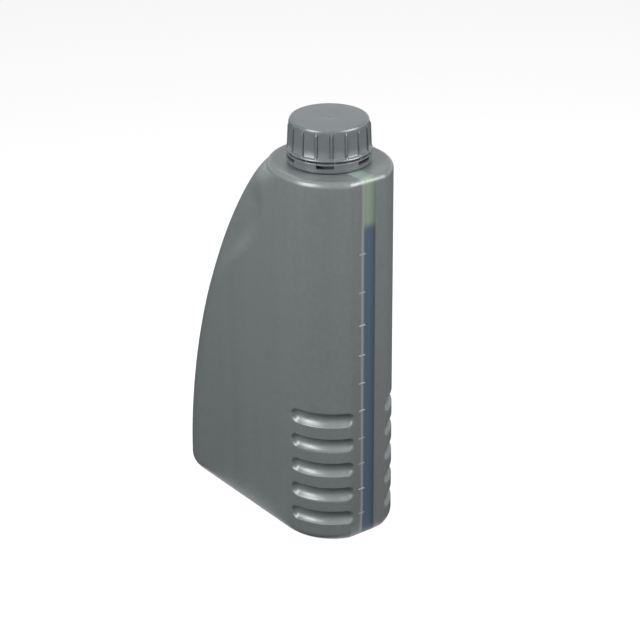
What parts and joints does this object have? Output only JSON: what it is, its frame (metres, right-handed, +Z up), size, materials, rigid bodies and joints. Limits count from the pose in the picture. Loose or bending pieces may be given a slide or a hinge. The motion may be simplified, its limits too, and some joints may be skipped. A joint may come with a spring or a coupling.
{
  "type": "compressor oil bottle",
  "caption": "Tall blow-moulded oil bottle with a sloping back, finger grooves, a view strip and a ribbed screw cap over a tamper band.",
  "frame": {"origin": "centre of the bottle's outline on the plane it stands on", "axes": "+Z up through the neck, +X towards the nose with the view strip, Y across the bottle"},
  "size_m": [0.1362, 0.063, 0.2286],
  "materials": {
    "bottle_wall": "satin silver-grey moulded plastic",
    "closure": "satin silver-grey moulded plastic",
    "liner": "matt white foam disc",
    "oil": "clear blue tinted liquid"
  },
  "bodies": {
    "bottle": {"bottle": "bottle_wall", "oil": "oil", "tamper_band": "closure"},
    "liner": {"liner": "liner"},
    "cap": {"cap": "closure"}
  },
  "joints": [
    {"name": "cap_lift", "type": "slide", "parent": "bottle", "child": "liner", "axis": [0, 0, 1], "range_m": [0, 0.007]},
    {"name": "cap_turn", "type": "hinge", "parent": "liner", "child": "cap", "pos_m": [0.0345, 0, 0.22], "axis": [0, 0, 1], "range_deg": [0, 630]}
  ],
  "couplings": [
    {"joint": "cap_lift", "follows": "cap_turn", "m_per_rad": 0.00063661}
  ]
}
